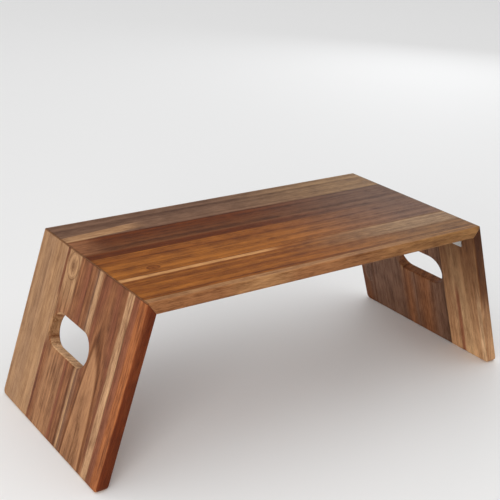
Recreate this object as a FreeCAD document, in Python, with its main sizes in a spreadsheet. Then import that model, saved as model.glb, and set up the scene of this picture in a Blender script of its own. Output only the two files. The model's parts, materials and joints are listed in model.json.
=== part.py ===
"""Folding laptop stand: a mitred tabletop on two splayed side legs that hinge flat under it.

Millimetres. X runs along the tabletop, Y from front to back, Z up. The origin is on the floor, midway
between the feet. The tabletop and the legs are boards glued up from staves: each board is shaped whole
as a blank, with its rounded edges, handle and pilot holes, and then sawn into its staves.
"""
import FreeCAD, Part
import os

import Sketcher
from FreeCAD import Vector

# Driving dimensions: name, value, what it measures.
SIZES = [
    ("top_width", 508.0, "tabletop, over the outer edges of its two mitres"),
    ("stand_depth", 272.0, "front face to back face of tabletop and legs"),
    ("stand_height", 220.0, "floor to the top face"),
    ("board_thickness", 15.5, "tabletop and legs"),
    ("leg_splay", 17.0, "degrees by which a leg leans out from upright"),
    ("mitre_gap", 0.3, "between the tabletop's mitre and the leg's, leg unfolded"),
    ("edge_round", 2.5, "radius along the long edges and round the handle"),
    ("foot_corner_round", 7.0, "radius of a leg's two lower corners, seen on its face"),
    ("arris_break", 0.4, "chamfer that takes the sharpness off the outer mitre edges"),
    ("top_lipping_width", 11.0, "narrow stave along the tabletop's front"),
    ("top_stave_width_1", 63.0, "tabletop staves, counted from the front"),
    ("top_stave_width_2", 68.0, ""),
    ("top_stave_width_3", 66.5, "the back stave takes what is left of the depth"),
    ("leg_stave_width_1", 27.0, "leg staves, counted from the leg's narrow side"),
    ("leg_stave_width_2", 73.0, ""),
    ("leg_stave_width_3", 31.0, "the handle cuts this one in two"),
    ("leg_stave_width_4", 67.0, "the wide stave takes what is left of the depth"),
    ("saw_overrun", 5.0, "by which a sawing box stands clear of its blank"),
    ("handle_length", 102.0, "opening in each leg, over its round ends"),
    ("handle_width", 44.0, "opening in each leg, down the slope"),
    ("handle_drop", 90.0, "inner mitre corner to the handle's centre, down the slope"),
    ("handle_shift", 8.0, "handle's centre from the leg's middle, to the wide stave"),
    ("hinge_length", 50.0, "butt hinge, along its pin"),
    ("hinge_inset", 24.0, "hinge's end from the stand's front or back face"),
    ("leaf_width", 20.0, "pin's centre to a leaf's free edge"),
    ("leaf_thickness", 1.5, "steel sheet, and the height of a screw's head"),
    ("leaf_corner_round", 2.0, "radius of a leaf's two free corners"),
    ("knuckle_radius", 2.6, "outside of the rolled knuckles"),
    ("knuckle_count", 5.0, "three on the leaf under the top, two on the leg's leaf"),
    ("knuckle_gap", 0.3, "between neighbouring knuckles"),
    ("knuckle_clearance", 0.3, "between the knuckles and the wood"),
    ("pin_radius", 1.3, "hinge pin"),
    ("pin_clearance", 0.05, "radial, pin in the knuckles"),
    ("pin_overhang", 0.6, "pin's end beyond its last knuckle"),
    ("screw_radius", 1.5, "wood screw's shank"),
    ("screw_length", 12.0, "head's flat to tip"),
    ("screw_tip", 1.1, "chamfer that points the screw"),
    ("screw_clearance", 0.05, "radial, screw in its leaf and its pilot hole"),
    ("screw_reach", 11.5, "pin's centre to the row of screws"),
    ("screw_spacing", 17.0, "between screws of one leaf"),
    ("recess_length", 3.2, "arms of the cross recess, end to end"),
    ("recess_width", 0.8, "arms of the cross recess, across"),
]

doc = FreeCAD.newDocument("LaptopStand")
sheet = doc.addObject("Spreadsheet::Sheet", "Sizes")
for row, (alias, value, note) in enumerate(SIZES, start=1):
    sheet.set(f"A{row}", alias)
    sheet.set(f"B{row}", str(value))
    sheet.set(f"C{row}", note)
    sheet.setAlias(f"B{row}", alias)
doc.recompute()

# Worked-out lengths, as expressions on the sheet.
MITRE_ANGLE = "(90 - Sizes.leg_splay) / 2"
FOLD_ANGLE = "(90 + Sizes.leg_splay) / 2"
MITRE_SETBACK = f"Sizes.board_thickness * tan({MITRE_ANGLE})"
HALF_GAP = f"Sizes.mitre_gap / 2 / cos({MITRE_ANGLE})"
INNER_HALF_WIDTH = f"(Sizes.top_width / 2 - {MITRE_SETBACK})"
UNDERSIDE = "(Sizes.stand_height - Sizes.board_thickness)"
PIN_STANDOFF = "(Sizes.knuckle_radius + Sizes.knuckle_clearance)"
PIN_SETBACK = f"({PIN_STANDOFF} / tan({FOLD_ANGLE}))"
HINGE_MIDDLE = "(Sizes.stand_depth / 2 - Sizes.hinge_inset - Sizes.hinge_length / 2)"
KNUCKLE_PITCH = "(Sizes.hinge_length / Sizes.knuckle_count)"
TOP_SCREW_ROW = f"({INNER_HALF_WIDTH} - {PIN_SETBACK} - Sizes.screw_reach)"
PILOT_DEPTH = "Sizes.screw_length - Sizes.leaf_thickness + Sizes.screw_clearance"


def size(expression):
    """The number that an expression on the sheet comes to."""
    result = sheet.evalExpression(expression)
    return float(getattr(result, "Value", result))


def placed(x, y, z, *turns):
    """A placement expression: moved to x, y, z and turned by (axis, degrees) pairs, the last one first."""
    parts = [f"placement(vector({x}; {y}; {z}); rotation(vector(0; 0; 1); 0))"]
    for axis, degrees in turns:
        parts.append(f"placement(vector(0; 0; 0); rotation(vector({axis}); {degrees}))")
    return " * ".join(parts)


# Degrees from a screw's axis to the flank of its head, and to that of the leaf's countersink.
HEAD_FLANK = 45.0

# Points nearer than this to a plane lie in it, when edges are picked.
TOUCHING = 1e-4

ABOUT_X, ABOUT_Y, ABOUT_Z = "1; 0; 0", "0; 1; 0", "0; 0; 1"

# The two sides are one design turned end for end: (name, side of the tabletop, turn about Z).
SIDES = [("left", -1, 0), ("right", 1, 180)]
ENDS = [("front", -1), ("back", 1)]


# ---- Sketches ----

def origin_plane(body, role):
    return next(feature for feature in body.Origin.OriginFeatures if feature.Role == role)


def new_sketch(body, role, name):
    sketch = body.newObject("Sketcher::SketchObject", name)
    sketch.AttachmentSupport = [(origin_plane(body, role), "")]
    sketch.MapMode = "FlatFace"
    return sketch


def bind(sketch, bound):
    """Add constraints, each (kind, references, expression), that take their values from the expressions."""
    indices = sketch.addConstraint([Sketcher.Constraint(kind, *references, size(expression))
                                    for kind, references, expression in bound])
    for index, (_, _, expression) in zip(indices, bound):
        sketch.setExpression(f"Constraints[{index}]", expression)


def at(geometry, point, x, y):
    """The constraints that hold one point of a curve at (x, y) from the sketch's origin."""
    return [("DistanceX", (-1, 1, geometry, point), x), ("DistanceY", (-1, 1, geometry, point), y)]


def draw_polygon(sketch, corners):
    """A closed outline through corners, each a pair of expressions."""
    points = [Vector(size(x), size(y), 0) for x, y in corners]
    lines = [sketch.addGeometry(Part.LineSegment(start, end))
             for start, end in zip(points, points[1:] + points[:1])]
    sketch.addConstraint([Sketcher.Constraint("Coincident", line, 2, following, 1)
                          for line, following in zip(lines, lines[1:] + lines[:1])])
    bind(sketch, [constraint for line, (x, y) in zip(lines, corners) for constraint in at(line, 1, x, y)])


def draw_circles(sketch, radius, centres):
    for x, y in centres:
        circle = sketch.addGeometry(Part.Circle(Vector(size(x), size(y), 0), Vector(0, 0, 1), size(radius)))
        bind(sketch, [("Radius", (circle,), radius), *at(circle, 3, x, y)])


def draw_slot(sketch, x, y, length, width):
    """A round-ended slot along X about (x, y)."""
    reach = f"({length} - {width}) / 2"
    radius = size(f"{width} / 2")
    left, right = Vector(size(f"{x} - {reach}"), size(y), 0), Vector(size(f"{x} + {reach}"), size(y), 0)
    up, out = Vector(0, radius, 0), Vector(radius, 0, 0)
    right_end = sketch.addGeometry(Part.Arc(right - up, right + out, right + up))
    top = sketch.addGeometry(Part.LineSegment(right + up, left + up))
    left_end = sketch.addGeometry(Part.Arc(left + up, left - out, left - up))
    bottom = sketch.addGeometry(Part.LineSegment(left - up, right - up))
    for first, second in ((right_end, top), (top, left_end), (left_end, bottom), (bottom, right_end)):
        sketch.addConstraint(Sketcher.Constraint("Tangent", first, 2, second, 1))
    sketch.addConstraint(Sketcher.Constraint("Equal", right_end, left_end))
    bind(sketch, [("Radius", (right_end,), f"{width} / 2"),
                  *at(right_end, 3, f"{x} + {reach}", y), *at(left_end, 3, f"{x} - {reach}", y)])


# ---- Features ----

def new_body(name):
    body = doc.addObject("PartDesign::Body", name)
    body.Label = name
    return body


def pad(body, sketch, name, length, **settings):
    feature = body.newObject("PartDesign::Pad", name)
    feature.Profile = sketch
    for key, value in settings.items():
        setattr(feature, key, value)
    feature.setExpression("Length", length)
    doc.recompute()
    return feature


def pocket(body, sketch, name, length=None, **settings):
    """Cut the sketch out, right through both ways unless a length is given, and make sure it cuts."""
    before = body.Shape.Volume
    feature = body.newObject("PartDesign::Pocket", name)
    feature.Profile = sketch
    for key, value in settings.items():
        setattr(feature, key, value)
    if length is None:
        feature.Type = "ThroughAll"
        feature.SideType = "Symmetric"
    else:
        feature.setExpression("Length", length)
    doc.recompute()
    if body.Shape.Volume >= before:
        raise RuntimeError(f"{body.Label}: {name} cuts nothing")
    return feature


def dress(body, kind, name, edges, property_name, expression):
    """A Fillet or Chamfer on edges of the body's shape, each an index from 1."""
    base = body.Tip
    feature = body.newObject(f"PartDesign::{kind}", name)
    feature.Base = (base, [f"Edge{index}" for index in edges])
    feature.setExpression(property_name, expression)
    doc.recompute()
    if "Invalid" in feature.State:
        raise RuntimeError(f"{body.Label}: {name} failed on {len(edges)} edges")
    return feature


def edges_where(body, test):
    """Indices, from 1, of the edges whose bounding box passes the test."""
    return [index for index, edge in enumerate(body.Shape.Edges, start=1) if test(edge.BoundBox)]


def flat(length):
    return length < TOUCHING


def near(value, expression):
    return abs(value - size(expression)) < TOUCHING


# ---- Boards ----

def hinge_screw_centres(x, sides=(1,)):
    """Screw positions of both hinges on a side, each at x from the middle and along Y."""
    return [(f"{side} * ({x})", f"{end} * {HINGE_MIDDLE} + {step} * Sizes.screw_spacing")
            for side in sides for _, end in ENDS for step in (-1, 0, 1)]


def make_top_blank():
    """The tabletop whole. Its own origin is the middle of its underside."""
    body = new_body("top_blank")
    section = new_sketch(body, "XZ_Plane", "top_section")
    upper = f"(Sizes.top_width / 2 - {HALF_GAP})"
    lower = f"({INNER_HALF_WIDTH} - {HALF_GAP})"
    draw_polygon(section, [(f"-{lower}", "0"), (lower, "0"),
                           (upper, "Sizes.board_thickness"), (f"-{upper}", "Sizes.board_thickness")])
    pad(body, section, "top_board", "Sizes.stand_depth", SideType="Symmetric")

    def outer_mitre_edge(box):
        return near(abs(box.XMin), upper) and flat(box.XLength) and not flat(box.YLength)

    def long_edge(box):
        return flat(box.YLength) and flat(box.ZLength)

    dress(body, "Chamfer", "top_mitre_arris", edges_where(body, outer_mitre_edge), "Size",
          "Sizes.arris_break")
    dress(body, "Fillet", "top_edge_rounds", edges_where(body, long_edge), "Radius", "Sizes.edge_round")

    pilots = new_sketch(body, "XY_Plane", "top_pilot_centres")
    draw_circles(pilots, "Sizes.screw_radius + Sizes.screw_clearance",
                 hinge_screw_centres(TOP_SCREW_ROW, sides=(-1, 1)))
    pocket(body, pilots, "top_pilot_holes", PILOT_DEPTH, Reversed=True)
    return body


def make_leg_blank():
    """A leg whole and upright. Its own origin is the inner corner of its mitre; +X is off its inner face."""
    body = new_body("leg_blank")
    section = new_sketch(body, "XZ_Plane", "leg_section")
    outer_top = f"({MITRE_SETBACK} - {HALF_GAP})"
    outer_foot = f"({MITRE_SETBACK} - Sizes.stand_height / cos(Sizes.leg_splay))"
    inner_foot = f"(-{UNDERSIDE} / cos(Sizes.leg_splay))"
    draw_polygon(section, [("0", f"-{HALF_GAP}"), ("-Sizes.board_thickness", outer_top),
                           ("-Sizes.board_thickness", outer_foot), ("0", inner_foot)])
    pad(body, section, "leg_board", "Sizes.stand_depth", SideType="Symmetric")

    def foot_corner(box):
        return flat(box.YLength) and not flat(box.XLength) and near(box.ZMin, outer_foot)

    def outer_mitre_edge(box):
        return near(box.ZMin, outer_top) and flat(box.ZLength)

    def board_edge(box):
        mitre_edge = flat(box.ZLength) and box.ZMin > size(f"-{HALF_GAP}") - TOUCHING
        return flat(box.XLength) and not mitre_edge

    dress(body, "Fillet", "foot_corner_rounds", edges_where(body, foot_corner), "Radius",
          "Sizes.foot_corner_round")
    handle = new_sketch(body, "YZ_Plane", "handle_outline")
    draw_slot(handle, "Sizes.handle_shift", "-Sizes.handle_drop", "Sizes.handle_length", "Sizes.handle_width")
    pocket(body, handle, "handle_opening")
    dress(body, "Chamfer", "leg_mitre_arris", edges_where(body, outer_mitre_edge), "Size",
          "Sizes.arris_break")
    dress(body, "Fillet", "leg_edge_rounds", edges_where(body, board_edge), "Radius", "Sizes.edge_round")

    pilots = new_sketch(body, "YZ_Plane", "leg_pilot_centres")
    draw_circles(pilots, "Sizes.screw_radius + Sizes.screw_clearance",
                 [(y, f"-{PIN_SETBACK} - Sizes.screw_reach") for _, y in hinge_screw_centres("0")])
    pocket(body, pilots, "leg_pilot_holes", PILOT_DEPTH)
    return body


def saw_stave(name, blank, strip, low, high, placement):
    """One stave: what a box holds of the blank.

    Strip is the box's start and width along Y, and low and high are its corners' X and Z.
    """
    box = doc.addObject("Part::Box", f"{name}_saw")
    start, width = strip
    for axis, low_edge in (("x", low[0]), ("y", start), ("z", low[1])):
        box.setExpression(f"Placement.Base.{axis}", low_edge)
    box.setExpression("Width", width)
    for side, low_edge, high_edge in zip(("Length", "Height"), low, high):
        box.setExpression(side, f"{high_edge} - ({low_edge})")
    stave = doc.addObject("Part::Common", name)
    stave.Label = name
    stave.Base = blank
    stave.Tool = box
    stave.setExpression("Placement", placement)
    return stave


def stave_strips(widths):
    """Where each stave starts along Y and how wide it is: side by side, and the last takes what is left."""
    start = "-Sizes.stand_depth / 2"
    strips = []
    for width in widths:
        strips.append((start, f"Sizes.{width}"))
        start += f" + Sizes.{width}"
    return strips + [(start, f"Sizes.stand_depth / 2 - ({start})")]


# ---- Hinges ----

def make_leaf(name, own_knuckles, placement):
    """A hinge leaf lying on Z = 0. +X is from the mitre's inner corner to its free edge, Y along the pin."""
    body = new_body(name)
    plate = new_sketch(body, "XZ_Plane", f"{name}_plate_end")
    free_edge = f"{PIN_SETBACK} + Sizes.leaf_width"
    draw_polygon(plate, [(PIN_SETBACK, "0"), (free_edge, "0"),
                         (free_edge, "Sizes.leaf_thickness"), (PIN_SETBACK, "Sizes.leaf_thickness")])
    pad(body, plate, f"{name}_plate", "Sizes.hinge_length", SideType="Symmetric")
    corners = edges_where(body, lambda box: near(box.XMin, free_edge) and flat(box.YLength))
    dress(body, "Fillet", f"{name}_corners", corners, "Radius", "Sizes.leaf_corner_round")

    barrel = new_sketch(body, "XZ_Plane", f"{name}_barrel_end")
    draw_circles(barrel, "Sizes.knuckle_radius", [(PIN_SETBACK, PIN_STANDOFF)])
    pad(body, barrel, f"{name}_barrel", "Sizes.hinge_length", SideType="Symmetric")

    notches = new_sketch(body, "XY_Plane", f"{name}_notches")
    count = int(size("Sizes.knuckle_count"))
    clear = "(Sizes.knuckle_radius + Sizes.knuckle_gap)"
    for knuckle in range(count):
        if knuckle in own_knuckles:
            continue
        low = f"{knuckle - count / 2} * {KNUCKLE_PITCH} - Sizes.knuckle_gap / 2"
        high = f"{knuckle + 1 - count / 2} * {KNUCKLE_PITCH} + Sizes.knuckle_gap / 2"
        draw_polygon(notches, [(f"{PIN_SETBACK} - {clear}", low), (f"{PIN_SETBACK} + {clear}", low),
                               (f"{PIN_SETBACK} + {clear}", high), (f"{PIN_SETBACK} - {clear}", high)])
    pocket(body, notches, f"{name}_notch_cuts")

    bore = new_sketch(body, "XZ_Plane", f"{name}_bore_end")
    draw_circles(bore, "Sizes.pin_radius + Sizes.pin_clearance", [(PIN_SETBACK, PIN_STANDOFF)])
    pocket(body, bore, f"{name}_bore")

    screws = new_sketch(body, "XY_Plane", f"{name}_screw_centres")
    centres = [(f"{PIN_SETBACK} + Sizes.screw_reach", f"{step} * Sizes.screw_spacing") for step in (-1, 0, 1)]
    draw_circles(screws, "Sizes.screw_radius + Sizes.screw_clearance", centres)
    pocket(body, screws, f"{name}_countersinks", "Sizes.leaf_thickness", Reversed=True,
           TaperAngle=HEAD_FLANK)
    body.setExpression("Placement", placement)
    return body


def make_pin(name, placement):
    """A hinge pin along Y through its own origin."""
    body = new_body(name)
    end = new_sketch(body, "XZ_Plane", f"{name}_end")
    draw_circles(end, "Sizes.pin_radius", [("0", "0")])
    pad(body, end, f"{name}_rod", "Sizes.hinge_length + 2 * Sizes.pin_overhang", SideType="Symmetric")
    rims = edges_where(body, lambda box: flat(box.YLength))
    dress(body, "Fillet", f"{name}_peened_ends", rims, "Radius", "Sizes.pin_overhang")
    body.setExpression("Placement", placement)
    return body


def make_screws(name, centres, placement):
    """Countersunk cross-recess screws pointing up from Z = 0, their heads hanging below it."""
    body = new_body(name)
    shanks = new_sketch(body, "XY_Plane", f"{name}_shank_circles")
    draw_circles(shanks, "Sizes.screw_radius", centres)
    pad(body, shanks, f"{name}_shanks", "Sizes.screw_length - Sizes.leaf_thickness")
    tips = edges_where(body, lambda box: near(box.ZMin, "Sizes.screw_length - Sizes.leaf_thickness"))
    dress(body, "Chamfer", f"{name}_tips", tips, "Size", "Sizes.screw_tip")
    pad(body, shanks, f"{name}_heads", "Sizes.leaf_thickness", Reversed=True, TaperAngle=HEAD_FLANK)
    long_arm, short_arm = "Sizes.recess_length / 2", "Sizes.recess_width / 2"
    cross = [(long_arm, short_arm), (short_arm, short_arm), (short_arm, long_arm)]
    recess = new_sketch(body, "XY_Plane", f"{name}_recess_crosses")
    for x, y in centres:
        corners = []
        for x_sign, y_sign in ((1, 1), (-1, 1), (-1, -1), (1, -1)):
            quarter = [(f"{x} + {x_sign} * {across}", f"{y} + {y_sign} * {along}") for across, along in cross]
            corners += quarter if x_sign == y_sign else quarter[::-1]
        draw_polygon(recess, corners)
    pocket(body, recess, f"{name}_recesses", "Sizes.leaf_thickness")
    body.setExpression("Placement", placement)
    return body


# ---- Assembly ----

def top_frame(side, turn, *turns, y="0", z=UNDERSIDE):
    """Placement in the frame of the tabletop's underside at one inner mitre corner, +X inwards."""
    return placed(f"{side} * {INNER_HALF_WIDTH}", y, z, (ABOUT_Z, turn), *turns)


nodes = []
top_blank = make_top_blank()
leg_blank = make_leg_blank()

top_names = ["top_front_lipping", "top_stave_1", "top_stave_2", "top_stave_3", "top_stave_4"]
top_widths = ["top_lipping_width", "top_stave_width_1", "top_stave_width_2", "top_stave_width_3"]
top_end = "Sizes.top_width / 2 + Sizes.saw_overrun"
for name, strip in zip(top_names, stave_strips(top_widths)):
    nodes.append(saw_stave(name, top_blank, strip, (f"-({top_end})", "-Sizes.saw_overrun"),
                           (top_end, "Sizes.board_thickness + Sizes.saw_overrun"),
                           placed("0", "0", UNDERSIDE)))
nodes.append(make_screws("top_hinge_screws", hinge_screw_centres(TOP_SCREW_ROW, sides=(-1, 1)),
                         placed("0", "0", UNDERSIDE)))

foot_end = "-Sizes.stand_height / cos(Sizes.leg_splay) - Sizes.saw_overrun"
mitre_end = f"{MITRE_SETBACK} + Sizes.saw_overrun"
handle_line = "-Sizes.handle_drop"
whole = [("", foot_end, mitre_end)]
cut_in_two = [("_upper", handle_line, mitre_end), ("_lower", foot_end, handle_line)]
leg_strips = stave_strips([f"leg_stave_width_{number}" for number in range(1, 5)])
for side_name, side, turn in SIDES:
    leg_placement = top_frame(side, turn, (ABOUT_Y, "Sizes.leg_splay"))
    for number, strip in enumerate(leg_strips, start=1):
        for suffix, low_end, high_end in cut_in_two if number == 3 else whole:
            nodes.append(saw_stave(f"{side_name}_leg_stave_{number}{suffix}", leg_blank, strip,
                                   ("-Sizes.board_thickness - Sizes.saw_overrun", low_end),
                                   ("Sizes.saw_overrun", high_end), leg_placement))
    nodes.append(make_screws(
        f"{side_name}_leg_hinge_screws", hinge_screw_centres(f"({PIN_SETBACK} + Sizes.screw_reach)"),
        top_frame(side, turn, (ABOUT_Y, "Sizes.leg_splay"), (ABOUT_Y, "90"), (ABOUT_X, "180"))))
    for end_name, end in ENDS:
        middle = f"{end} * {HINGE_MIDDLE}"
        hinge = f"{side_name}_{end_name}_hinge"
        nodes.append(make_leaf(f"{hinge}_top_leaf", (0, 2, 4),
                               top_frame(side, turn, (ABOUT_X, "180"), y=middle)))
        nodes.append(make_leaf(f"{hinge}_leg_leaf", (1, 3), top_frame(
            side, turn, (ABOUT_Y, "Sizes.leg_splay"), (ABOUT_Y, "90"), y=middle)))
        nodes.append(make_pin(f"{hinge}_pin", placed(
            f"{side} * ({INNER_HALF_WIDTH} - {PIN_SETBACK})", middle, f"{UNDERSIDE} - {PIN_STANDOFF}")))

doc.recompute()

for item in doc.Objects:
    if "Invalid" in item.State or "Error" in item.State:
        raise RuntimeError(f"{item.Label} did not compute: {item.State}")
os.makedirs("parts", exist_ok=True)
for node in nodes:
    if node.Shape.isNull() or not node.Shape.isValid():
        raise RuntimeError(f"{node.Label} has no valid shape")
    node.Shape.exportStep(f"parts/{node.Label}.step")
    box = node.Shape.BoundBox
    print(f"{node.Label:32s} {len(node.Shape.Solids):2d} solid(s) {node.Shape.Volume:10.0f} mm3 "
          f"x {box.XMin:7.1f}..{box.XMax:6.1f} y {box.YMin:7.1f}..{box.YMax:6.1f} "
          f"z {box.ZMin:6.1f}..{box.ZMax:6.1f}")
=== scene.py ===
# %% [markdown]
# # A folding laptop stand in glued hardwood
#
# The stand is three boards: a tabletop and two splayed legs. Each board is glued up from staves of mixed
# hardwood, light sapwood beside dark heartwood, and each leg folds under the tabletop on two butt hinges.
#
# The design model already holds every board and hinge at its true shape and place. This notebook loads it,
# gives each stave its own figure of wood, and makes the small steel parts over again with the soft edges
# and rolled knuckles that a plain design model leaves out.

import bmesh
import bpy
import json
import math
from mathutils import Matrix, Vector

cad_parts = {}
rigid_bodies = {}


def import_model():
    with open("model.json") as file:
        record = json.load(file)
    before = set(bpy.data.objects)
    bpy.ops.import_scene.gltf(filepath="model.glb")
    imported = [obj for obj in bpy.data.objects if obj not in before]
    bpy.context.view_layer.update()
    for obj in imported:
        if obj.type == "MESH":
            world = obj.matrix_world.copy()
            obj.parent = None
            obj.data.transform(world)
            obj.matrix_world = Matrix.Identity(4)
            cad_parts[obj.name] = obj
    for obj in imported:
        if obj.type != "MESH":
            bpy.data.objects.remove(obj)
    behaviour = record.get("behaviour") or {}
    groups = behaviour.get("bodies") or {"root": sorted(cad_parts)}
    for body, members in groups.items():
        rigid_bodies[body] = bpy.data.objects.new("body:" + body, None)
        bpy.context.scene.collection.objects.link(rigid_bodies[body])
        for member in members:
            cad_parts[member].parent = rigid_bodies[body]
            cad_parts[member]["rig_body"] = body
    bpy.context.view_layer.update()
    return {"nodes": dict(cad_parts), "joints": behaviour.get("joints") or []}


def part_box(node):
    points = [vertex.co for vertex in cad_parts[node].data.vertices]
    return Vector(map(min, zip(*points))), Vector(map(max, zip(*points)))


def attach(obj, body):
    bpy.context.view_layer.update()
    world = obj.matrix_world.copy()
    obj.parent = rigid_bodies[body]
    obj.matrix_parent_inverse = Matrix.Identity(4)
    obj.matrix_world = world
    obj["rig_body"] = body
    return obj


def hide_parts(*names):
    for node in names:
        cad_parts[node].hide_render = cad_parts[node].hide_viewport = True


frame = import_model()
nodes = frame["nodes"]

# %% [markdown]
# ## Measures that everything else uses
#
# The wood's pattern has to know how each board lies. The angles and edges could be written down as
# numbers, but then they would go wrong when the design changes, so they are read from the model. The legs
# lean out by the angle that the hinges turn beyond a right angle, so the splay comes from the hinge's
# range. The outer mitre edge, where tabletop and leg meet, is the tabletop's end.

# %% Measures
SPLAY = math.radians(frame["joints"][0]["range_deg"][1] - 90)
top_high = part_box("top_stave_2")[1]
MITRE_X = top_high.x
TOP_Z = top_high.z
HALF_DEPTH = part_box("top_stave_4")[1].y
print(f"splay {math.degrees(SPLAY):.0f} degrees, top at {TOP_Z:.3f} m, half depth {HALF_DEPTH:.3f} m")

# %% [markdown]
# ## Camera
#
# The stand is seen from its front left and a little above, so that the outside of one leg, the inside of
# the other and the tabletop all show. A long lens keeps the boards' edges almost parallel. The turns are
# made one after another: round the vertical, down from level, and a slight lean of the camera itself.

# %% Camera
CAMERA_AT = (-0.7611, -1.0523, 0.6967)
CAMERA_YAW, CAMERA_DOWN, CAMERA_LEAN = 35.51, 20.62, 2.39
LENS = 75.9
SHIFT = (-0.0228, -0.0294)

camera = bpy.data.objects.new("camera", bpy.data.cameras.new("camera"))
bpy.context.scene.collection.objects.link(camera)
camera.data.sensor_width = 36
camera.data.lens = LENS
camera.data.shift_x, camera.data.shift_y = SHIFT
camera.matrix_world = (Matrix.Translation(CAMERA_AT)
                       @ Matrix.Rotation(math.radians(-CAMERA_YAW), 4, "Z")
                       @ Matrix.Rotation(math.radians(90 - CAMERA_DOWN), 4, "X")
                       @ Matrix.Rotation(math.radians(CAMERA_LEAN), 4, "Z"))
bpy.context.scene.camera = camera
print("camera at", CAMERA_AT)

# %% [markdown]
# ## Light
#
# Three soft lamps light the stand as in a small studio. The main one stands low in front on the left and
# lights the outside of the left leg. A wide ceiling of light evens out the tabletop and the floor, and a
# weak lamp behind draws the far edges. The pale surroundings fill the shadows. A sun lamp would be
# simpler, but its shadows have hard edges. The ceiling doesn't show in reflections, because seen at a low
# angle it would lay a white veil over the tabletop. Plain colour handling keeps the wood's colours as
# they are mixed.

# %% Studio light
bpy.context.scene.view_settings.view_transform = "Standard"


def soft_lamp(name, place, aim, width, watts, colour):
    """A square lamp of light at a place, facing a point. Metres and watts."""
    lamp = bpy.data.lights.new(name, "AREA")
    lamp.shape = "SQUARE"
    lamp.size = width
    lamp.energy = watts
    lamp.color = colour
    holder = bpy.data.objects.new(name, lamp)
    bpy.context.scene.collection.objects.link(holder)
    facing = (Vector(aim) - Vector(place)).to_track_quat("-Z", "Y")
    holder.matrix_world = Matrix.Translation(place) @ facing.to_matrix().to_4x4()
    return holder


STAND_MIDDLE = (0, 0, 0.12)
soft_lamp("main_lamp", (-1.9, -1.6, 0.7), STAND_MIDDLE, 1.0, 29, (1.0, 0.98, 0.95))
ceiling = soft_lamp("ceiling_lamp", (0, 1, 5), (0, 1, 0), 14, 470, (1.0, 1.0, 1.0))
ceiling.visible_glossy = False
soft_lamp("back_lamp", (1.9, 1.6, 0.8), STAND_MIDDLE, 0.7, 3, (0.95, 0.97, 1.0))

world = bpy.data.worlds.new("pale_room")
world.use_nodes = True
world.node_tree.nodes["Background"].inputs["Color"].default_value = (1.0, 1.0, 1.0, 1)
world.node_tree.nodes["Background"].inputs["Strength"].default_value = 0.35
bpy.context.scene.world = world

# %% [markdown]
# ## Shader maths written as Python
#
# A material is a graph of small nodes. Written out one by one they hide the idea, so a `Wire` wraps one
# output socket: `1 - wire * 2` adds the Math nodes for it, and `node` adds any other kind of node, with
# its settings first and then a value or another wire for each of its sockets.

# %% The Wire class
class Wire:
    def __init__(self, tree, socket=None):
        self.tree = tree
        self.socket = socket

    def node(self, kind, sockets, output=0, stops=None, **settings):
        """Any node: settings, then a value or a Wire for each socket, by name or by number."""
        made = self.tree.nodes.new(kind)
        for setting, value in settings.items():
            setattr(made, setting, value)
        if stops:
            ramp = made.color_ramp
            ramp.interpolation = "EASE"
            while len(ramp.elements) < len(stops):
                ramp.elements.new(1.0)
            for element, (position, colour) in zip(ramp.elements, stops):
                element.position = position
                element.color = (*colour, 1)
        for key, value in sockets.items():
            if isinstance(value, Wire):
                self.tree.links.new(value.socket, made.inputs[key])
            elif isinstance(value, tuple) and made.inputs[key].type == "RGBA":
                made.inputs[key].default_value = (*value, 1)
            else:
                made.inputs[key].default_value = value
        return Wire(self.tree, made.outputs[output])

    def maths(self, operation, *values):
        return self.node("ShaderNodeMath", dict(enumerate(values)), operation=operation)

    def __add__(self, other):
        return self.maths("ADD", self, other)

    def __sub__(self, other):
        return self.maths("SUBTRACT", self, other)

    def __rsub__(self, other):
        return self.maths("SUBTRACT", other, self)

    def __mul__(self, other):
        return self.maths("MULTIPLY", self, other)

    __radd__ = __add__
    __rmul__ = __mul__

    def size(self):
        return self.maths("ABSOLUTE", self)

    def rise(self, low, high):
        """0 below low, 1 above high and smooth between them; low above high turns it round."""
        flipped = low > high
        sockets = {"Value": self, "From Min": min(low, high), "From Max": max(low, high),
                   "To Min": float(flipped), "To Max": float(not flipped)}
        return self.node("ShaderNodeMapRange", sockets, interpolation_type="SMOOTHSTEP")

    def blend(self, first, second):
        """The colour first where this wire is 0 and second where it is 1."""
        return self.node("ShaderNodeMix", {"Factor": self, 6: first, 7: second}, output=2, data_type="RGBA")

    def tinted(self, tint):
        """This colour seen through another, as through a coat of stain."""
        return self.node("ShaderNodeMix", {"Factor": 1.0, 6: self, 7: tint}, output=2, data_type="RGBA",
                         blend_type="MULTIPLY")


def new_material(name, **constants):
    """A material, its shader and a Wire to start from. Constants go straight on the shader's sockets."""
    material = bpy.data.materials.new(name)
    material.use_nodes = True
    shader = material.node_tree.nodes["Principled BSDF"]
    for socket, value in constants.items():
        shader.inputs[socket.replace("_", " ")].default_value = value
    return material, shader, Wire(material.node_tree)


def feed(shader, **wires):
    for socket, wire in wires.items():
        wire.tree.links.new(wire.socket, shader.inputs[socket.replace("_", " ")])


# %% [markdown]
# ## Colours of the wood
#
# One log gives many colours: the sapwood under the bark is cream, and the heartwood goes from honey
# through chestnut to a purplish brown. They are mixed here as a painter would, on the everyday 0 to 255
# scale, and turned into the even scale of light that the renderer works in.

# %% Palette
def mixed(red, green, blue):
    """An everyday 0 to 255 colour as linear light."""
    return tuple((channel / 255) ** 2.2 for channel in (red, green, blue))


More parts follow.
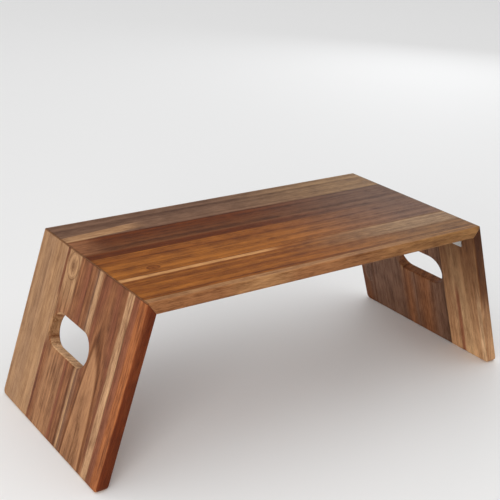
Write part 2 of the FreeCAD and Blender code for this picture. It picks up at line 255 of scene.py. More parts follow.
CREAM = mixed(182, 144, 110)
TAN = mixed(172, 134, 99)
HAY = mixed(162, 120, 82)
BUTTER = mixed(186, 136, 88)
PINK_TAN = mixed(162, 127, 97)
OCHRE = mixed(154, 112, 80)
HONEY = mixed(150, 92, 38)
AMBER = mixed(128, 74, 30)
ORANGE = mixed(156, 96, 58)
CLAY = mixed(148, 102, 68)
CHESTNUT = mixed(136, 91, 62)
RUSSET = mixed(126, 78, 56)
UMBER = mixed(104, 64, 38)
GREY_BROWN = mixed(122, 93, 75)
PLUM = mixed(114, 85, 69)
MAUVE = mixed(107, 80, 65)
SAND = mixed(150, 122, 94)
FAWN = mixed(141, 112, 82)
BISCUIT = mixed(142, 104, 66)
NUT = mixed(128, 93, 60)
DARK_RED = mixed(90, 42, 20)
DEEP_BROWN = mixed(96, 48, 16)
# Pale cut ends, lighter than the faces: painted light on the walls of the handle, which lie in shade.
PAINTED_LIGHT_END_WOOD = mixed(216, 178, 138)

# %% [markdown]
# ## Wood as a solid
#
# A picture of wood wrapped round a board gives itself away at the edges, where real grain carries on
# through the corner. So the wood is a solid here, as in a log. Growth rings are tubes round the pith, the
# log's middle, and they taper like the log. A board sawn beside the pith cuts the tubes into the arches
# that joiners call cathedrals, and a board sawn far from it shows straight lines. Each stave therefore
# only says where its pith lay, how the colours follow one another outwards from it, and what crosses it:
# strips of sapwood, darker streaks and knots.
#
# Every board has its own ruler, laid by a Mapping node of the Texture kind: zero at the outer mitre edge,
# X along the grain, Y across the board and Z into its thickness, in millimetres.

# %% A board's own ruler
MILLIMETRE = 0.001
RULERS = {
    "top": {"Location": (0, 0, TOP_Z), "Rotation": (0, 0, 0)},
    "left": {"Location": (-MITRE_X, 0, TOP_Z), "Rotation": (0, math.pi / 2 + SPLAY, 0)},
    "right": {"Location": (MITRE_X, 0, TOP_Z), "Rotation": (0, math.pi / 2 - SPLAY, 0)},
}


def ruler(wire, board):
    """The board's millimetres as one vector, and apart: along the grain, across and in from the face."""
    place = wire.node("ShaderNodeTexCoord", {}, output="Object")
    space = wire.node("ShaderNodeMapping", {"Vector": place, "Scale": (MILLIMETRE,) * 3, **RULERS[board]},
                      vector_type="TEXTURE")
    along, across, deep = (wire.node("ShaderNodeSeparateXYZ", {0: space}, output=axis) for axis in "XYZ")
    return space, along, across, deep.size()


def grain_noise(space, length, width, start=0.0, detail=1.0):
    """Soft noise from -0.5 to 0.5 whose patches are about length by width millimetres."""
    stretched = space.node("ShaderNodeMapping", {"Vector": space, "Location": (start, start, start),
                                                 "Scale": (1 / length, 1 / width, 1 / width)})
    return space.node("ShaderNodeTexNoise", {"Vector": stretched, "Scale": 1.0, "Detail": detail}) - 0.5


def ring_noise(radius, width, start=0.0, detail=1.0):
    """Noise from -0.5 to 0.5 that changes only from ring to ring."""
    return radius.node("ShaderNodeTexNoise", {"W": radius * (1 / width) + start, "Scale": 1.0,
                                              "Detail": detail}, noise_dimensions="1D") - 0.5


# %% [markdown]
# ## What crosses the rings
#
# Sapwood strips and dark streaks run with the grain and fade out, so each is a soft band across the board
# times a soft stretch along it. A knot is the root of a branch: rings close round it in an oval, with a
# dark line at its rim.

# %% Strips and knots
def strip_mask(along, across, middle, width, soft=2.0, start=None, end=None, fade=20, lean=0.0):
    """A band along the grain: full within its width, gone within soft millimetres beyond."""
    away = (across - middle - along * lean).size()
    mask = away.rise(width / 2 + soft, width / 2)
    if start is not None:
        mask = mask * along.rise(start - fade, start + fade)
    if end is not None:
        mask = mask * along.rise(end + fade, end - fade)
    return mask


def knot_distance(along, across, place, reach, flow):
    """0 in the knot's middle and 1 at its rim; flow is how much longer it is along the grain."""
    down = (along - place[0]) * (1 / (reach * flow))
    over = (across - place[1]) * (1 / reach)
    return (down * down + over * over).maths("SQRT", down * down + over * over)


# %% [markdown]
# ## The layers of the grain
#
# Seen closer, wood is layer upon layer: broad and narrow rings, streaks as long as a hand, a soft cloud of
# lighter and darker patches, the fibres, and last the pores, short dark dashes that an open-grained
# hardwood never hides. Each layer could be drawn by hand on a picture. Noise that is stretched along the
# grain gives the same look without a picture and without a repeat, and its stretch is all that sets one
# layer apart from the next.

# %% Layers
# Length and width of a layer's patches in millimetres, its own shift of the noise, and its detail.
PATCHES = {
    "slow": (160, 22, 0, 1),
    "quick": (45, 5, 7, 2),
    "streaks": (130, 5, 5, 2),
    "fibres": (13, 0.9, 11, 3),
    "pores": (4.5, 0.32, 17, 1),
    "cloud": (34, 16, 23, 2),
}
# Width of a layer of rings in millimetres, its shift and its detail.
RING_WIDTHS = {"rings": (2.4, 0, 2), "broad": (9.0, 3, 1)}
PORE_THRESHOLD = (0.13, 0.2)


def grain_layers(space, seed):
    """Each layer of patches as a wire from -0.5 to 0.5, but the pores, which are 1 in a pore and else 0."""
    layers = {name: grain_noise(space, length, width, seed + shift, detail)
              for name, (length, width, shift, detail) in PATCHES.items()}
    layers["pores"] = layers["pores"].rise(*PORE_THRESHOLD)
    return layers


def ring_layers(radius, seed):
    return {name: ring_noise(radius, width, seed + shift, detail)
            for name, (width, shift, detail) in RING_WIDTHS.items()}


# %% [markdown]
# ## Rings, knots and the board's own edges
#
# Real rings are never quite round: they stray over the length of a hand and tremble over that of a
# finger, so both noises are added to the distance from the pith. Near a knot the distance to the knot's
# middle takes over. A fine dark line follows each glue joint, where the edges are broken a little and
# gather oil and dirt. Along the mitre the line is darker: partly its joint and partly painted shade of the
# narrow groove that its broken edges make. Small chamfers would show that shade from close by, but from a
# yard away only the dark line is left of them.

# %% Rings and seams
SLOW_STRAY, QUICK_STRAY = 7, 1.6
STRIP_SLOW_STRAY, STRIP_QUICK_STRAY = 4, 1.5
KNOT_HOLD = (1.35, 0.75)
RIM_WIDTH, RIM_DARK = 0.1, 0.4
EYE_EDGE, EYE_DARK = (0.28, 0.1), 0.3
# The mitre's dark line is partly its joint and partly painted shade of the groove at its broken edges.
TOP_MITRE_LINE, LEG_MITRE_LINE, MITRE_JOINT_AND_SHADE = (252.2, 253.2), (1.9, 0.9), 0.84
GLUE_LINE, GLUE_DARK = (0.5, 0.1), 0.36
END_CUT = (0.55, 0.9)


def pith_distance(along, across, deep, pith, taper, layers):
    """Millimetres from the pith, as the rings count them."""
    over, down = across - pith[0], deep - pith[1]
    straight = across.maths("SQRT", over * over + down * down)
    return straight - along * taper + layers["slow"] * SLOW_STRAY + layers["quick"] * QUICK_STRAY


def joint_and_shade_mask(name, board, along, across):
    """How dark the joints make a stave: along its mitres, where the dark is partly painted shade of the
    groove there, and along its sides but for the board's edges.
    """
    mitre = along.size().rise(*TOP_MITRE_LINE) if board == "top" else along.rise(*LEG_MITRE_LINE)
    seam = mitre * MITRE_JOINT_AND_SHADE
    low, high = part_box(name)
    for side, inwards in ((low.y, 1), (high.y, -1)):
        if abs(abs(side) - HALF_DEPTH) > MILLIMETRE:
            glue = ((across - side / MILLIMETRE) * inwards).rise(*GLUE_LINE)
            seam = seam.maths("MAXIMUM", seam, glue * GLUE_DARK)
    return seam


def end_grain_mask(wire, board):
    """1 where the surface faces along the board's grain, which cuts the fibres across."""
    facing = wire.node("ShaderNodeTexCoord", {}, output="Normal")
    facing = wire.node("ShaderNodeMapping", {"Vector": facing, "Rotation": RULERS[board]["Rotation"]},
                       vector_type="TEXTURE")
    return wire.node("ShaderNodeSeparateXYZ", {0: facing}, output="X").size().rise(*END_CUT)


# %% [markdown]
# ## The wood material
#
# Now the layers come together, from coarse to fine: the colour by distance from the pith, the strips and
# knots, the cut ends of the fibres, and over all of it the light and dark of the grain. The grain is laid
# on as a stain that goes from a deep shade to a gleam and leaves the hue alone, because mixing in black
# would turn the wood grey. Oil leaves a satin gloss, duller in the pores, and a little real relief
# catches the light.

# %% Wood
SHADE = (0.42, 0.31, 0.24)
GLEAM = (1.32, 1.30, 1.25)
EVEN = 0.55
RING_LIGHT, BROAD_LIGHT, FIBRE_LIGHT, PORE_DARK = 0.7, 0.9, 1.6, 0.3
END_SHARE = 0.8
SATIN = 0.5
PORE_DULL, FIBRE_SHINE, CLOUD_DULL, END_DULL = 0.2, 0.15, 0.1, 0.1
FIBRE_HEIGHT, RING_HEIGHT = 0.5, 0.2
RELIEF = 0.00012


def wood(name, board, pith, tones, taper=0.0, strips=(), knots=(), painted_light_drift=None, seed=0.0, figure=1.0,
         grain=1.0, cut_end=PAINTED_LIGHT_END_WOOD):
    """Give a stave its wood. Tones are (distance from the pith, colour), strips (colour, where) and knots
    (place, reach, flow). The painted light and shade are the tint at the mitre, which paints shade there,
    the tint further on, which paints light there, and how far that is."""
    material, shader, wire = new_material(name, Specular_IOR_Level=0.12)
    space, along, across, deep = ruler(wire, board)
    layers = grain_layers(space, seed)
    radius = pith_distance(along, across, deep, pith, taper, layers)
    strayed = across + layers["slow"] * STRIP_SLOW_STRAY + layers["quick"] * STRIP_QUICK_STRAY
    knots_away = []
    for place, reach, flow in knots:
        away = knot_distance(along, strayed, place, reach, flow)
        near = away.rise(*KNOT_HOLD)
        radius = radius * (1 - near) + (away * reach + pith[0]) * near
        knots_away.append(away)

    low, high = tones[0][0], tones[-1][0]
    scale = radius.node("ShaderNodeMapRange", {"Value": radius, "From Min": low, "From Max": high})
    stops = [((at - low) / (high - low), colour) for at, colour in tones]
    colour = scale.node("ShaderNodeValToRGB", {"Fac": scale}, stops=stops)
    for tint, places in strips:
        colour = strip_mask(along, strayed, **places).blend(colour, tint)
    # Painted shade near the mitre under the tabletop, turning to painted light further along the board.
    if painted_light_drift:
        painted_shade_tint, painted_light_tint, length = painted_light_drift
        colour = colour.tinted(along.rise(0, length).blend(painted_shade_tint, painted_light_tint))
    # Cut ends take the cut_end colour. The pale default is painted light, and it shows on the handle's
    # walls.
    end_grain = end_grain_mask(wire, board)
    colour = (end_grain * END_SHARE).blend(colour, cut_end)

    rings = ring_layers(radius, seed)
    fibres, pores, cloud = layers["fibres"], layers["pores"], layers["cloud"]
    light = (rings["rings"] * RING_LIGHT + rings["broad"] * BROAD_LIGHT) * figure
    light = light + (layers["streaks"] + fibres * FIBRE_LIGHT + cloud) * grain - pores * PORE_DARK
    for away in knots_away:
        light = light - (away - 1).size().rise(RIM_WIDTH, 0.0) * RIM_DARK - away.rise(*EYE_EDGE) * EYE_DARK
    # The joints darken the grain. Along the mitre this is partly painted shade.
    stain = light - joint_and_shade_mask(name, board, along, across) + EVEN
    colour = colour.tinted(stain.blend(SHADE, GLEAM))

    roughness = SATIN + pores * PORE_DULL - fibres * FIBRE_SHINE + cloud * CLOUD_DULL + end_grain * END_DULL
    height = fibres * FIBRE_HEIGHT - pores + rings["rings"] * RING_HEIGHT
    bump = wire.node("ShaderNodeBump", {"Height": height, "Distance": RELIEF, "Strength": 0.7})
    feed(shader, Base_Color=colour, Roughness=roughness, Normal=bump)
    nodes[name].material_slots[0].material = material
    print(f"{name}: pith at {pith}, {len(tones)} tones, {len(strips)} strips, {len(knots)} knots")


# %% [markdown]
# ## The left leg
#
# The staves of one board come from different planks, so each gets its own log: where its pith lay, in
# millimetres across and into the board, and its colours outwards from there. Counted from the front: a
# narrow orange stave, a wide one with a pale strip of sapwood and a tall cathedral, a narrow one that the
# handle cuts in two, one with a knot's eye above the handle, and a wide plain one at the back. The two
# pieces of the cut stave share one log, so the grain runs on across the opening.

# %% Left leg
wood("left_leg_stave_1", "left", (-330, 5), [(190, ORANGE), (208, ORANGE), (213, RUSSET), (224, RUSSET)],
     strips=[(DARK_RED, {"middle": -137, "width": 2})], seed=3)
wood("left_leg_stave_2", "left", (-62, 45),
     [(30, OCHRE), (39.5, OCHRE), (41, UMBER), (43, CHESTNUT), (47, RUSSET), (52, CHESTNUT), (56, RUSSET),
      (59, UMBER), (66, CHESTNUT)],
     taper=0.05, strips=[(CREAM, {"middle": -101, "width": 9, "soft": 4})], seed=8)
for half in ("upper", "lower"):
    wood(f"left_leg_stave_3_{half}", "left", (-150, 10),
         [(110, CHESTNUT), (126, GREY_BROWN), (136, CHESTNUT), (146, CHESTNUT)],
         strips=[(CREAM, {"middle": -28, "width": 8, "end": 75}),
                 (TAN, {"middle": -25, "width": 3, "start": 110}),
                 (UMBER, {"middle": -19, "width": 2, "start": 110})], seed=14)
wood("left_leg_stave_4", "left", (-90, 20),
     [(82, UMBER), (90, RUSSET), (110, CHESTNUT), (135, OCHRE), (144, CHESTNUT), (154, RUSSET)],
     strips=[(TAN, {"middle": 40, "width": 28, "end": 58, "soft": 4}),
             (OCHRE, {"middle": 22, "width": 34, "start": 125, "soft": 5}),
             (TAN, {"middle": 60, "width": 5, "start": 62, "end": 120, "soft": 4, "fade": 12})],
     knots=[((18, 40), 14, 1.25)], seed=21)
wood("left_leg_stave_5", "left", (-140, 60), [(200, PINK_TAN), (230, TAN), (255, PINK_TAN), (284, TAN)],
     seed=27, figure=0.5, grain=0.7)

# %% [markdown]
# ## The right leg
#
# The same staves turned end for end, so the wide plain one is in front. Its tint changes along it: painted
# shade near the tabletop, where the tabletop shades it, and painted light towards the foot, where the light
# reaches it. Its sister staves behind it are dark heartwood, whose cut ends in the handle are dark too, with
# a knot near the back.

# %% Right leg
# Its tint goes from painted shade under the tabletop to painted light at the foot.
wood("right_leg_stave_5", "right", (-150, 40), [(20, TAN), (45, OCHRE), (70, TAN), (92, OCHRE)],
     taper=-0.06, strips=[(CREAM, {"middle": -130, "width": 6, "start": 110}),
                          (RUSSET, {"middle": -88, "width": 3, "start": 110, "soft": 4}),
                          (UMBER, {"middle": -137, "width": 2, "end": 120})],
     painted_light_drift=((0.38, 0.31, 0.25), (1.75, 2.0, 2.15), 265), seed=33, figure=0.7, grain=0.75)
wood("right_leg_stave_4", "right", (60, 40), [(50, PLUM), (80, CHESTNUT), (105, PLUM), (130, MAUVE)],
     seed=39, cut_end=UMBER)
for half in ("upper", "lower"):
    wood(f"right_leg_stave_3_{half}", "right", (150, 10), [(110, PLUM), (130, CHESTNUT), (146, PLUM)],
         strips=[(TAN, {"middle": 30, "width": 2, "start": 105, "end": 130})], seed=44, cut_end=UMBER)
wood("right_leg_stave_2", "right", (70, 30), [(14, PLUM), (30, PLUM), (40, UMBER), (52, RUSSET)],
     taper=0.03, seed=52, cut_end=UMBER)
wood("right_leg_stave_1", "right", (200, 10), [(60, RUSSET), (75, UMBER), (95, PLUM)],
     knots=[((168, 118), 8, 1.8)], seed=58)

# %% [markdown]
# ## The tabletop
#
# A narrow lipping in front, then four wide staves. They are orange-brown at the left end and greyer at
# the right, partly their own tone and partly painted sheen, the greyish reflection that the top shows at
# that end when seen from low down. A picture could be painted for that change, but a strip as wide as the
# stave that fades in over a long stretch does it with what is there already.

# %% Tabletop
# Strips that grey the right end: partly the wood's own tone, partly painted sheen.
TONE_AND_SHEEN_TO_THE_RIGHT = {"start": 90, "fade": 130, "soft": 1}
wood("top_front_lipping", "top", (-300, 10), [(160, CLAY), (165, CLAY), (170, HAY), (178, HAY)],
     strips=[(HAY, {"middle": -133, "width": 5, "start": -140, "end": -60, "soft": 4}),
             (BISCUIT, {"middle": -130, "width": 20, **TONE_AND_SHEEN_TO_THE_RIGHT})], seed=61)
wood("top_stave_1", "top", (-250, 30),
     [(124, HONEY), (132, AMBER), (142, HONEY), (152, AMBER), (160, HONEY), (168, AMBER), (176, HONEY),
      (190, AMBER)],
     strips=[(BUTTER, {"middle": -67, "width": 6, "end": -40}), (AMBER, {"middle": -73, "width": 2}),
             (NUT, {"middle": -95, "width": 70, **TONE_AND_SHEEN_TO_THE_RIGHT}),
             (SAND, {"middle": -80, "width": 30, **TONE_AND_SHEEN_TO_THE_RIGHT})], seed=66)
wood("top_stave_2", "top", (-90, 40), [(38, AMBER), (50, HONEY), (75, HONEY), (90, AMBER), (105, HONEY)],
     strips=[(PLUM, {"middle": -28, "width": 80, **TONE_AND_SHEEN_TO_THE_RIGHT})], knots=[((-198, -47), 5, 1.5)], seed=71)
wood("top_stave_3", "top", (-60, 30), [(66, DEEP_BROWN), (84, DEEP_BROWN), (88, UMBER), (134, DEEP_BROWN)],
     strips=[(CHESTNUT, {"middle": 48, "width": 40, "end": -225, "soft": 6}),
             (MAUVE, {"middle": 40, "width": 80, **TONE_AND_SHEEN_TO_THE_RIGHT})], seed=77)
wood("top_stave_4", "top", (230, 30), [(94, GREY_BROWN), (120, MAUVE), (150, GREY_BROWN), (162, PLUM)],
     strips=[(TAN, {"middle": 103, "width": 16, "end": -150, "lean": 0.094}),
             (FAWN, {"middle": 104, "width": 80, **TONE_AND_SHEEN_TO_THE_RIGHT})], seed=83)

# %% [markdown]
# ## Steel
#
# The hinges are pressed from bright zinc-plated sheet: metal, fairly sharp in its reflections, with fine
# lines from the rolling mill and a faint mottle where the zinc froze. One grey all over would look like
# plastic, so both vary the colour, the roughness and a very small relief. One recipe serves sheet, pin
# and screws, with a tone and a roughness for each.

# %% Steel
MILL_LINES = (9000, 300, 9000)
MOTTLE_SCALE = 700.0
WORN = 0.78


def steel(name, tone, roughness):
    material, shader, wire = new_material(name, Metallic=1.0)
    place = wire.node("ShaderNodeTexCoord", {}, output="Object")
    lines = wire.node("ShaderNodeMapping", {"Vector": place, "Scale": MILL_LINES})
    lines = wire.node("ShaderNodeTexNoise", {"Vector": lines, "Scale": 1.0, "Detail": 2.0}) - 0.5
    mottle = wire.node("ShaderNodeTexVoronoi", {"Vector": place, "Scale": MOTTLE_SCALE}, output="Color")
    mottle = wire.node("ShaderNodeSeparateColor", {"Color": mottle}, output="Red") - 0.5
    shade = lines * 0.25 + mottle * 0.12 + 0.5
    colour = shade.blend(tuple(WORN * channel for channel in tone), tone)
    height = lines * 0.5 + mottle * 0.2
    bump = wire.node("ShaderNodeBump", {"Height": height, "Distance": 0.00003, "Strength": 0.6})
    feed(shader, Base_Color=colour, Roughness=lines * 0.18 + mottle * 0.12 + roughness, Normal=bump)
    print(name, "tone", tone, "roughness", roughness)
    return material


STEELS = {
    "hinge_leaves": steel("zinc_sheet", (0.72, 0.72, 0.70), 0.30),
    "hinge_pins": steel("pin_wire", (0.62, 0.61, 0.59), 0.24),
    "screws": steel("zinc_screw", (0.66, 0.66, 0.64), 0.28),
}

# %% [markdown]
# ## Tools for modelling by hand
#
# A hinge is too small to shape well in metres, where a sheet's thickness is a thousandth and a bit. So its
# parts are modelled in millimetres round the middle of the pin: X runs out to a leaf's free edge, Y along
# the pin and Z away from the wood. The move into the stand also turns millimetres to metres.
#
# In edit mode an operator works on what is selected. A face could be picked by its number, but numbers
# change with every cut, so `choose` picks by place. Real metal has no edge of zero width, so every part
# ends with its sharp edges softened.

# %% Modelling tools
SHARP = math.radians(35)


def add(kind, **settings):
    """Add a primitive on its own, with its turn and scale already in its mesh."""
    bpy.ops.object.select_all(action="DESELECT")
    getattr(bpy.ops.mesh, f"primitive_{kind}_add")(**settings)
    bpy.ops.object.transform_apply(location=True, rotation=True, scale=True)
    return bpy.context.object


def middle(part):
    """The middle of a face's or an edge's corners."""
    return sum((corner.co for corner in part.verts), Vector()) / len(part.verts)


def choose(kind, test):
    """In edit mode, select only the edges or faces that pass the test, and say how many."""
    bpy.ops.mesh.select_mode(type=kind)
    bpy.ops.mesh.select_all(action="DESELECT")
    mesh = bmesh.from_edit_mesh(bpy.context.object.data)
    chosen = [part for part in (mesh.faces if kind == "FACE" else mesh.edges) if test(part)]
    for part in chosen:
        part.select_set(True)
    bmesh.update_edit_mesh(bpy.context.object.data)
    return len(chosen)


def apply_modifier(piece, kind, **settings):
    """Add a modifier with its settings and make its result the piece's own mesh."""
    bpy.ops.object.select_all(action="DESELECT")
    piece.select_set(True)
    bpy.context.view_layer.objects.active = piece
    modifier = piece.modifiers.new(kind.lower(), kind)
    for setting, value in settings.items():
        setattr(modifier, setting, value)
    bpy.ops.object.modifier_apply(modifier=modifier.name)


def cut(piece, cutter):
    """Take the cutter's shape out of the piece, and throw the cutter away."""
    apply_modifier(piece, "BOOLEAN", operation="DIFFERENCE", solver="EXACT", object=cutter)
    bpy.data.objects.remove(cutter)


def finish_edges(piece, width):
    """Soften the sharp edges by a width, and shade smooth but with the large faces flat."""
    apply_modifier(piece, "BEVEL", width=width, segments=2, limit_method="ANGLE", angle_limit=SHARP)
    bpy.ops.object.shade_smooth_by_angle(angle=SHARP)
    apply_modifier(piece, "WEIGHTED_NORMAL", keep_sharp=True)
    print(piece.name, len(piece.data.polygons), "faces")
    return piece


# %% [markdown]
# ## A hinge leaf
#
# A butt hinge's leaf starts as flat sheet. Tabs along one edge are rolled round the pin as knuckles, three
# on one leaf and two on the other, so that they interlock. A plate with a tube beside it would pass from
# far away, but the same steps as in the press give the true shape: a cube becomes the sheet, bisect marks
# where the tabs start and stop, and the tabs are extruded to the pin and spun round it. The roll stops
# short of closing, which leaves the seam that a rolled knuckle has. The spin operator counts its angle
# the other way round, so it gets a negative one. The corners are rounded and three holes are countersunk.

# %% One leaf
HINGE_LENGTH = 50.0
LEAF_WIDTH = 20.0
SHEET = 1.5
STANDOFF = 2.9
KNUCKLE_RADIUS = 2.6
BORE_RADIUS = 1.35
KNUCKLES = 5
KNUCKLE_GAP = 0.3
ROLL = math.radians(293)
SCREW_REACH = 11.5
SCREW_SPACING = 17.0
HOLE_RADIUS = 1.55
CUTTER_EXTRA = 0.5
CORNER_RADIUS = 2.0
NEAR = 0.01


def make_leaf(name, own_knuckles):
    clear = KNUCKLE_RADIUS + KNUCKLE_GAP
    pitch = HINGE_LENGTH / KNUCKLES
    leaf = add("cube", size=1, scale=(LEAF_WIDTH - clear, HINGE_LENGTH, SHEET),
               location=((LEAF_WIDTH + clear) / 2, 0, SHEET / 2 - STANDOFF))
    leaf.name = name
    bpy.ops.object.mode_set(mode="EDIT")
    for line in range(1, KNUCKLES):
        for side in (-1, 1):
            bpy.ops.mesh.select_all(action="SELECT")
            place = (line - KNUCKLES / 2) * pitch + side * KNUCKLE_GAP / 2
            bpy.ops.mesh.bisect(plane_co=(0, place, 0), plane_no=(0, 1, 0))

    def tab_end(face):
        where = middle(face)
        knuckle = int((where.y + HINGE_LENGTH / 2) // pitch)
        inside = abs(where.y - (knuckle + 0.5 - KNUCKLES / 2) * pitch) < pitch / 4
        return abs(where.x - clear) < NEAR and inside and knuckle in own_knuckles

    tabs = choose("FACE", tab_end)
    wall = KNUCKLE_RADIUS - BORE_RADIUS
    wall_middle = -(KNUCKLE_RADIUS + BORE_RADIUS) / 2
    bpy.ops.mesh.extrude_region_move(
        TRANSFORM_OT_translate={"value": (-clear, 0, wall_middle - (SHEET / 2 - STANDOFF))})
    bpy.ops.transform.resize(value=(1, 1, wall / SHEET), center_override=(0, 0, wall_middle))
    bpy.ops.mesh.spin(steps=26, angle=-ROLL, center=(0, 0, 0), axis=(0, 1, 0))

    def free_corner(edge):
        where = middle(edge)
        return where.x > LEAF_WIDTH - NEAR and abs(where.y) > HINGE_LENGTH / 2 - NEAR

    corners = choose("EDGE", free_corner)
    bpy.ops.mesh.bevel(offset=CORNER_RADIUS, segments=6, affect="EDGES")
    bpy.ops.mesh.select_all(action="SELECT")
    bpy.ops.mesh.remove_doubles(threshold=0.001)
    bpy.ops.mesh.normals_make_consistent(inside=False)
    bpy.ops.object.mode_set(mode="OBJECT")
    print(name, "has", tabs, "rolled tabs and", corners, "rounded corners")
    for step in (-1, 0, 1):
        countersink = add("cone", vertices=40, radius1=HOLE_RADIUS - CUTTER_EXTRA,
                          radius2=HOLE_RADIUS + SHEET + CUTTER_EXTRA, depth=SHEET + 2 * CUTTER_EXTRA,
                          location=(SCREW_REACH, step * SCREW_SPACING, SHEET / 2 - STANDOFF))
        cut(leaf, countersink)
    return finish_edges(leaf, width=0.14)


three_knuckle_leaf = make_leaf("three_knuckle_leaf", (0, 2, 4))
two_knuckle_leaf = make_leaf("two_knuckle_leaf", (1, 3))

# %% [markdown]
# ## Pin
#
# The pin is wire, and hammering its ends over stops it from sliding out. It could be left as a cylinder,
# but then its ends would be cut off sharp, just where they show. A bevel as wide as the hammered part
# makes them round.

# %% Pin
PIN_RADIUS = 1.3
PIN_OVERHANG = 0.6


def make_pin():
    pin = add("cylinder", vertices=40, radius=PIN_RADIUS, depth=HINGE_LENGTH + 2 * PIN_OVERHANG,
              rotation=(math.pi / 2, 0, 0))
    pin.name = "pin"
    bpy.ops.object.mode_set(mode="EDIT")
    choose("EDGE", lambda edge: min(abs(corner.co.y) for corner in edge.verts) > HINGE_LENGTH / 2)
    bpy.ops.mesh.bevel(offset=PIN_OVERHANG * 0.95, segments=5, affect="EDGES")
    bpy.ops.object.mode_set(mode="OBJECT")
    return finish_edges(pin, width=0.02)


pin = make_pin()

# %% [markdown]
# ## Screw
#
# A wood screw is turned, so it is drawn downwards from a disc: the head narrows to the shank, the shank
# runs into the wood and narrows to its tip. A spun profile would do as well, but a chain of extrusions
# needs no drawing. The cross in the head is two cuts that narrow with depth, as the punch that makes it
# does. The thread is out of sight in the wood and is left out.

# %% Screw
SHANK_RADIUS = 1.5
SCREW_LENGTH = 12.0
TIP = 1.1
RECESS_LENGTH, RECESS_WIDTH, RECESS_DEPTH = 3.2, 0.8, 1.2
PUNCH_TAPER = 0.55


def make_screw():
    """A screw whose head is flush with the leaf: Z = 0 is the wood, SHEET is the head's flat."""
    screw = add("circle", vertices=40, radius=SHANK_RADIUS + SHEET, fill_type="NGON", location=(0, 0, SHEET))
    screw.name = "screw"
    bpy.ops.object.mode_set(mode="EDIT")
    bpy.ops.mesh.select_all(action="SELECT")
    radius, height = SHANK_RADIUS + SHEET, SHEET
    for next_radius, next_height in ((SHANK_RADIUS, 0), (SHANK_RADIUS, TIP + SHEET - SCREW_LENGTH),
                                     (SHANK_RADIUS - TIP, SHEET - SCREW_LENGTH)):
        bpy.ops.mesh.extrude_region_move(TRANSFORM_OT_translate={"value": (0, 0, next_height - height)})
        shrink = next_radius / radius
        bpy.ops.transform.resize(value=(shrink, shrink, 1), center_override=(0, 0, next_height))
        radius, height = next_radius, next_height
    bpy.ops.mesh.select_all(action="SELECT")
    bpy.ops.mesh.normals_make_consistent(inside=False)
    bpy.ops.object.mode_set(mode="OBJECT")
    for long_way in (0, 1):
        arms = (RECESS_LENGTH, RECESS_WIDTH) if long_way == 0 else (RECESS_WIDTH, RECESS_LENGTH)
        punch = add("cube", size=1, scale=(*arms, 2 * RECESS_DEPTH), location=(0, 0, SHEET))
        bpy.ops.object.mode_set(mode="EDIT")
        choose("FACE", lambda face: middle(face).z < SHEET - RECESS_DEPTH + NEAR)
        bpy.ops.transform.resize(value=(PUNCH_TAPER, PUNCH_TAPER, 1), center_override=(0, 0, 0))
        bpy.ops.object.mode_set(mode="OBJECT")
        cut(screw, punch)
    return finish_edges(screw, width=0.07)


screw = make_screw()

# %% [markdown]
# ## Hinges into the stand
#
# Each hinge is the same set of parts, so one pattern of each is copied to its places, which are read from
# the pins of the design model. Linked copies would share one mesh, but here a copy's turn and place go
# into a mesh of its own, because a finished piece sits at the origin. A leaf under the tabletop lies
# upside down, and a leaf on a leg stands at a right angle plus the splay. The screws follow their leaf,
# and those that go into one board are joined as one piece.

# %% Hinges
def copy_to(pattern, name, places, slot, node):
    """One piece made of the pattern at each place, which stands for a part of the design model."""
    copies = []
    for place in places:
        copy = bpy.data.objects.new(name, pattern.data.copy())
        bpy.context.scene.collection.objects.link(copy)
        copy.data.transform(place @ Matrix.Scale(MILLIMETRE, 4))
        copies.append(copy)
    bpy.ops.object.select_all(action="DESELECT")
    for copy in copies:
        copy.select_set(True)
    piece = copies[0]
    bpy.context.view_layer.objects.active = piece
    if len(copies) > 1:
        bpy.ops.object.join()
    piece.data.materials.append(STEELS[slot])
    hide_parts(node)
    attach(piece, nodes[node]["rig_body"])
    return piece


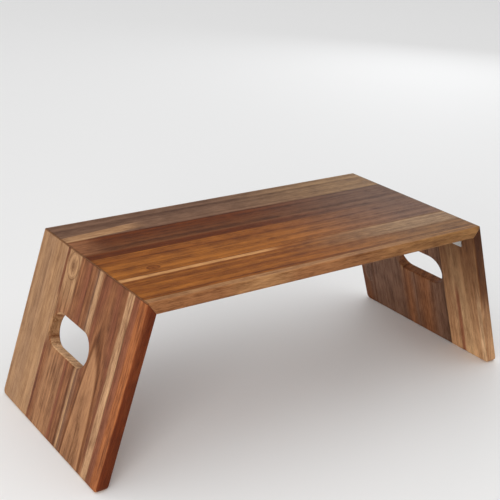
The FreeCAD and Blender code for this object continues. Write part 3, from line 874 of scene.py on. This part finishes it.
def hinge_frames(hinge, turned):
    """Where the hinge's middle is: turned for the leaf under the tabletop, and for the leaf on the leg."""
    low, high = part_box(f"{hinge}_pin")
    pin_middle = Matrix.Translation((low + high) / 2) @ Matrix.Rotation(math.pi * turned, 4, "Z")
    return (pin_middle @ Matrix.Rotation(math.pi, 4, "X"),
            pin_middle @ Matrix.Rotation(math.pi / 2 + SPLAY, 4, "Y"))


def screw_places(leaf_place):
    """Where a leaf's three screws are: on the wood, under the leaf's holes."""
    holes = [Vector((SCREW_REACH, step * SCREW_SPACING, -STANDOFF)) for step in (-1, 0, 1)]
    return [leaf_place @ Matrix.Translation(hole * MILLIMETRE) for hole in holes]


top_screws = []
for side, turned in (("left", False), ("right", True)):
    leg_screws = []
    for end in ("front", "back"):
        hinge = f"{side}_{end}_hinge"
        under_top, on_leg = hinge_frames(hinge, turned)
        copy_to(three_knuckle_leaf, f"{hinge}_top_leaf_rolled", [under_top], "hinge_leaves",
                f"{hinge}_top_leaf")
        copy_to(two_knuckle_leaf, f"{hinge}_leg_leaf_rolled", [on_leg], "hinge_leaves",
                f"{hinge}_leg_leaf")
        copy_to(pin, f"{hinge}_pin_hammered", [under_top], "hinge_pins", f"{hinge}_pin")
        top_screws += screw_places(under_top)
        leg_screws += screw_places(on_leg)
    copy_to(screw, f"{side}_leg_screws_driven", leg_screws, "screws", f"{side}_leg_hinge_screws")
copy_to(screw, "top_screws_driven", top_screws, "screws", "top_hinge_screws")
print(len(top_screws), "screws under the tabletop, and", len(leg_screws), "in each leg")

# The patterns have served.
for pattern in (three_knuckle_leaf, two_knuckle_leaf, pin, screw):
    bpy.data.objects.remove(pattern)

# %% [markdown]
# ## Floor
#
# A plain pale floor, wide enough to run out of sight, so that it needs no backdrop. It is only a stage and
# no part of the stand.

# %% Floor
FLOOR_WIDTH = 14
bpy.ops.object.select_all(action="DESELECT")
bpy.ops.mesh.primitive_plane_add(size=FLOOR_WIDTH, location=(0, 0, 0))
floor = bpy.context.object
floor.name = "floor"
floor.data.materials.append(new_material("pale_floor", Base_Color=(0.86, 0.86, 0.86, 1), Roughness=0.7)[0])
print("floor", FLOOR_WIDTH, "metres wide")
